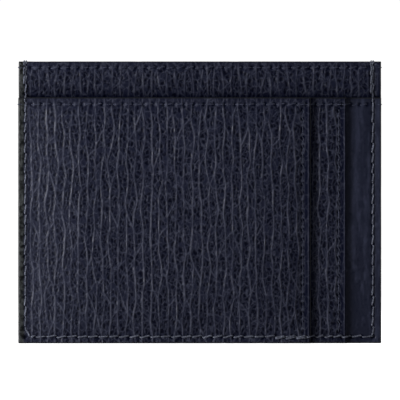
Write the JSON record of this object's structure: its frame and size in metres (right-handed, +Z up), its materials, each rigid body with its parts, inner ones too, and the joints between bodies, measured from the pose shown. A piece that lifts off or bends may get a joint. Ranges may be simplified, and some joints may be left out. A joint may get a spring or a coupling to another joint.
{
  "type": "card holder",
  "caption": "Flat leather card holder with slots that open to one side, a pocket open at the top, stitched seams and painted edges.",
  "frame": {"origin": "middle of the bottom edge, on the surface that the holder stands on", "axes": "+X to the slot mouths, along the width; +Y out of the back, through the thickness; +Z up"},
  "size_m": [0.095, 0.0064, 0.0738],
  "materials": {
    "grained_leather": "dark navy leather with a long wrinkled grain, semi-gloss",
    "smooth_leather": "dark navy leather with a faint grain, semi-gloss",
    "strip_leather": "dark navy split leather, matt",
    "lining_cloth": "thin woven lining cloth, dark navy",
    "edge_paint": "dark acrylic edge paint, satin",
    "seam_thread": "waxed polyester thread, light grey-blue",
    "hem_thread": "waxed polyester thread, dark navy"
  },
  "bodies": {
    "root": {"back_leather": "grained_leather", "facing_leather": "grained_leather", "base_leather": "smooth_leather", "second_leather": "grained_leather", "front_leather": "grained_leather", "base_lining": "lining_cloth", "second_lining": "lining_cloth", "front_lining": "lining_cloth", "front_slot_left_spacer": "strip_leather", "front_slot_bottom_spacer": "strip_leather", "front_slot_top_spacer": "strip_leather", "second_slot_left_spacer": "strip_leather", "second_slot_bottom_spacer": "strip_leather", "second_slot_top_spacer": "strip_leather", "center_left_spacer": "strip_leather", "center_right_spacer": "strip_leather", "center_bottom_spacer": "strip_leather", "bottom_edge_paint": "edge_paint", "left_edge_paint": "edge_paint", "right_edge_paint": "edge_paint", "top_edge_paint": "edge_paint", "pocket_edge_paint": "edge_paint", "second_mouth_edge_paint": "edge_paint", "front_mouth_edge_paint": "edge_paint", "outer_seam_needle_thread": "seam_thread", "outer_seam_bobbin_thread": "seam_thread", "top_hem_needle_thread": "hem_thread", "top_hem_bobbin_thread": "hem_thread", "pocket_hem_needle_thread": "hem_thread", "pocket_hem_bobbin_thread": "hem_thread", "second_mouth_hem_needle_thread": "hem_thread", "second_mouth_hem_bobbin_thread": "hem_thread", "front_mouth_hem_needle_thread": "hem_thread", "front_mouth_hem_bobbin_thread": "hem_thread"}
  },
  "joints": []
}
